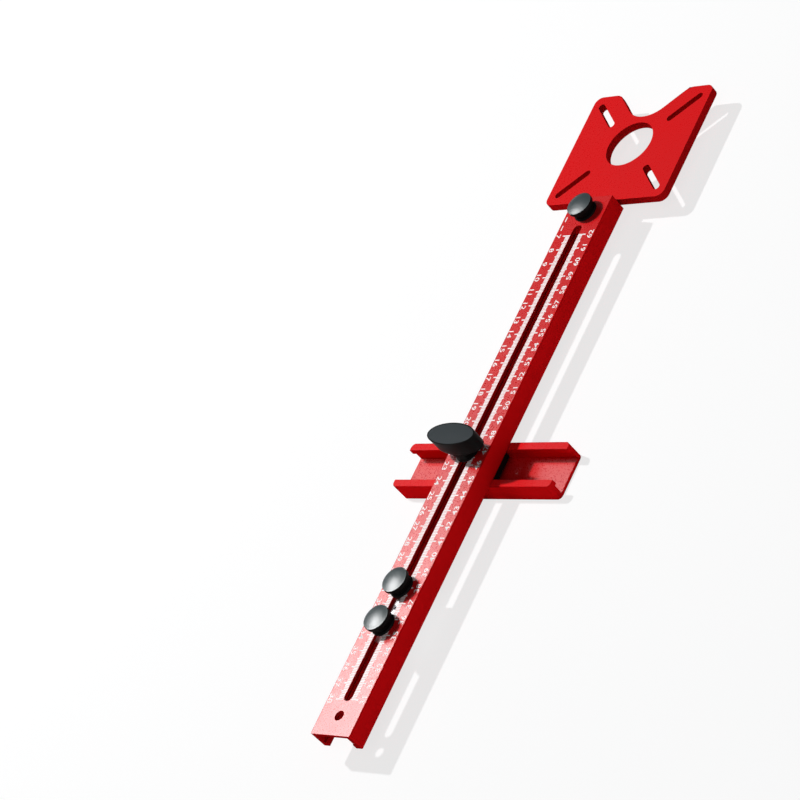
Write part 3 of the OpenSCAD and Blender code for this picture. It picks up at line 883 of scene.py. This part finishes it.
def domedCap(node):
    radius, middle, bottom, top = boxSpan(node)
    rise = knobMake["domeRise"]
    rimZ, roofZ = top - rise, top - knobMake["roofDrop"]
    domeRadius = (radius * radius + rise * rise) / (2 * rise)
    edge = knobMake["capEdge"]
    dome = []
    for step in range(knobMake["domeSteps"] + 1):
        r = (radius - 2 * edge) * step / knobMake["domeSteps"]
        dome.append((r, top - domeRadius + math.sqrt(domeRadius ** 2 - r * r), 0))
    lip = knobMake["capLip"]
    bore = radius - knobMake["capWall"]
    skirtTop = rimZ + edge * knobMake["edgeShare"]
    skirt = [(radius, skirtTop, edge), (radius, bottom, lip), (bore, bottom, lip),
             (bore, roofZ - edge, 0), (0, roofZ - edge, 0)]
    cap = turnOutline(node + "_dome", roundCorners(dome + skirt), middle, finishOfSlot[slotOfNode[node]])
    cap.materials.append(finishOfSlot["black_plastic"])
    for face in cap.polygons:
        if face.normal.z < knobMake["glossSlope"]:
            face.material_index = 1
    return cap


def ribbedNeck(node, capZ, top):
    spigot, middle, bottom = boxSpan(node)[:3]
    finish = finishOfSlot[slotOfNode[node]]
    radius = knobMake["neckRadius"]
    rib = knobMake["ribRadius"]
    root = radius - rib
    edge = knobMake["neckEdge"]
    inside = spigot - edge
    outline = [(knobMake["bore"], bottom, 0), (root, bottom, edge), (root, capZ, 0), (inside, capZ, 0),
               (inside, top, 0), (knobMake["bore"], top, 0)]
    neck = turnOutline(node + "_neck", roundCorners(outline), middle, finish)
    ribs = runTree(node + "_ribs", ribTree, {
        "Count": knobMake["ribCount"], "Radius": root, "Rib": rib, "Height": capZ - bottom - 2 * edge,
        "Middle": (middle.x, middle.y, (bottom + capZ) / 2), "Finish": finish})
    shadeByAngle(ribs, meshMake["fineAngle"])
    return joinMeshes(node + "_grip", [neck, ribs], finish)


def roundWasher(node):
    radius, middle, bottom, top = boxSpan(node)
    edge = knobMake["washerEdge"]
    bore = knobMake["bore"]
    outline = [(bore, bottom, 0), (radius, bottom, edge), (radius, top, edge), (bore, top, 0)]
    return turnOutline(node + "_ring", roundCorners(outline), middle, finishOfSlot[slotOfNode[node]])


def threadedScrew(node):
    radius, middle, bottom, top = boxSpan(node)
    finish = finishOfSlot[slotOfNode[node]]
    crest = screwMake["threadRadius"]
    pitch = screwMake["threadPitch"]
    chamfer = screwMake["headChamfer"]
    shank = screwMake["shank"]
    headZ = top - screwMake["headHeight"]
    root = shank - screwMake["threadDepth"] * crest
    head = turnOutline(node + "_hex", [
        Vector((0, headZ)), Vector((radius - chamfer, headZ)), Vector((radius, headZ + chamfer)),
        Vector((radius, top - chamfer)), Vector((radius - chamfer, top)), Vector((0, top)),
    ], middle, finish, steps=screwMake["headSides"])
    core = turnOutline(node + "_core", [
        Vector((0, bottom)), Vector((root - chamfer, bottom)), Vector((root, bottom + chamfer)),
        Vector((root, headZ + chamfer)), Vector((0, headZ + chamfer)),
    ], middle, finish, steps=screwMake["coreSteps"])
    threadHeight = headZ - bottom - 2 * pitch
    thread = runTree(node + "_thread", threadTree, {
        "Turns": threadHeight / pitch, "Radius": shank - crest, "Crest": crest, "Height": threadHeight,
        "Base": (middle.x, middle.y, bottom + pitch), "Finish": finish})
    shadeByAngle(thread, meshMake["fineAngle"])
    return joinMeshes(node + "_screw", [head, core, thread], finish)


for knob in ("plate_knob", "upper_knob", "lower_knob"):
    capNode, bodyNode = knob + "_cap", knob + "_body"
    capZ, capTop = (corner.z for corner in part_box(capNode))
    spigotTop = capTop - 2 * knobMake["roofDrop"]
    keepPiece(capNode + "_dome", domedCap(capNode), capNode)
    keepPiece(bodyNode + "_grip", ribbedNeck(bodyNode, capZ, spigotTop), bodyNode)
    keepPiece(knob + "_washer_ring", roundWasher(knob + "_washer"), knob + "_washer")
    keepPiece(knob + "_stud_screw", threadedScrew(knob + "_stud"), knob + "_stud")
print("small knobs ready")

# Fence knob: a smooth oval paddle on a round neck, with a cover let into its top
paddleMake = {
    "turn": -3.5, "neckDiameter": 0.014, "neckHeight": 0.003, "rimHeight": 0.0106, "draft": 0.0002,
    "topEdge": 0.0002, "lowEdge": 0.0012, "coverRim": 0.0006, "coverDepth": 0.0015, "coverGap": 0.00004,
    "coverEdge": 0.00015, "steps": 120, "edgeSteps": 5, "sharpAngle": 40,
}


def ovalRing(shape, length, width, centre, height):
    turn = Matrix.Rotation(math.radians(paddleMake["turn"]), 2)
    ring = []
    for k in range(paddleMake["steps"]):
        t = 2 * math.pi * k / paddleMake["steps"]
        spot = turn @ Vector((length / 2 * math.cos(t), width / 2 * math.sin(t)))
        ring.append(shape.verts.new((centre.x + spot.x, centre.y + spot.y, height)))
    return ring


def loftOvals(name, stations, centre, finish, closed=False):
    # stations are (length, width, height); the ends are filled unless the loft closes on itself
    shape = bmesh.new()
    rings = [ovalRing(shape, length, width, centre, height) for length, width, height in stations]
    pairs = list(zip(rings, rings[1:] + rings[:1])) if closed else list(zip(rings, rings[1:]))
    count = paddleMake["steps"]
    for low, high in pairs:
        for j in range(count):
            shape.faces.new((low[j], low[(j + 1) % count], high[(j + 1) % count], high[j]))
    if not closed:
        shape.faces.new(rings[0])
        shape.faces.new(rings[-1])
    return finishMesh(name, shape, finish, paddleMake["sharpAngle"])


def paddleSize(node):
    # true length and width of a turned oval, from the box round it
    low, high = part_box(node)
    turn = math.radians(paddleMake["turn"])
    c2, s2 = math.cos(turn) ** 2, math.sin(turn) ** 2
    x2, y2 = ((high.x - low.x) / 2) ** 2, ((high.y - low.y) / 2) ** 2
    length = 2 * math.sqrt((c2 * x2 - s2 * y2) / (c2 * c2 - s2 * s2))
    width = 2 * math.sqrt((c2 * y2 - s2 * x2) / (c2 * c2 - s2 * s2))
    return length, width


def quarterTurn():
    steps = paddleMake["edgeSteps"]
    return [math.pi / 2 * step / steps for step in range(steps + 1)]


def roundedTop(length, width, top, edge):
    # stations of an oval wall whose top edge is rounded over
    stations = []
    for a in quarterTurn():
        inset = edge * (1 - math.cos(a))
        stations.append((length - 2 * inset, width - 2 * inset, top - edge + edge * math.sin(a)))
    return stations


def paddleBody(node):
    low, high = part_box(node)
    centre = (low + high) / 2
    length, width = paddleSize(node)
    neck = paddleMake["neckDiameter"]
    neckTop = low.z + paddleMake["neckHeight"]
    rimLow = high.z - paddleMake["rimHeight"]
    draft, edge, lowEdge = paddleMake["draft"], paddleMake["topEdge"], paddleMake["lowEdge"]
    recess = 2 * paddleMake["coverRim"]
    recessFloor = high.z - paddleMake["coverDepth"]
    bore = 2 * knobMake["bore"]
    foot = neck - 2 * edge
    stations = [(bore, bore, low.z), (foot, foot, low.z), (neck, neck, low.z + edge), (neck, neck, neckTop)]
    lowLength, lowWidth = length - 2 * draft, width - 2 * draft
    for a in quarterTurn():
        inset = lowEdge * (1 - math.sin(a))
        stations.append((lowLength - 2 * inset, lowWidth - inset, rimLow + lowEdge * (1 - math.cos(a))))
    stations += roundedTop(length, width, high.z, edge)
    stations.append((length - recess, width - recess, high.z))
    stations.append((length - recess, width - recess, recessFloor))
    stations.append((bore, bore, recessFloor))
    return loftOvals(node + "_paddle", stations, centre, finishOfSlot[slotOfNode[node]], closed=True)


def paddleCover(node):
    low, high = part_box(node)
    length, width = paddleSize(node)
    length, width = length - 2 * paddleMake["coverGap"], width - 2 * paddleMake["coverGap"]
    stations = [(length, width, low.z)] + roundedTop(length, width, high.z, paddleMake["coverEdge"])
    return loftOvals(node + "_lid", stations, (low + high) / 2, finishOfSlot[slotOfNode[node]])


keepPiece("fence_knob_body_paddle", paddleBody("fence_knob_body"), "fence_knob_body")
keepPiece("fence_knob_cover_lid", paddleCover("fence_knob_cover"), "fence_knob_cover")
keepPiece("fence_knob_washer_ring", roundWasher("fence_knob_washer"), "fence_knob_washer")
keepPiece("fence_knob_bolt_screw", threadedScrew("fence_knob_bolt"), "fence_knob_bolt")
print("fence knob ready")

# Cards: the caps and the fence mirror the strong card, and all other pieces the plain one
strongPieces = ("plate_knob_cap_dome", "upper_knob_cap_dome", "lower_knob_cap_dome", "fence_rail_stock")
cardReach = {"strongCard": "INCLUDE", "plainCard": "EXCLUDE"}
for name, state in cardReach.items():
    reach = bpy.data.collections.new(name + "Reach")
    for piece in strongPieces:
        reach.objects.link(bpy.data.objects[piece])
    for entry in reach.collection_objects:
        entry.light_linking.link_state = state
    bpy.data.objects[name].light_linking.receiver_collection = reach
print("cards set")
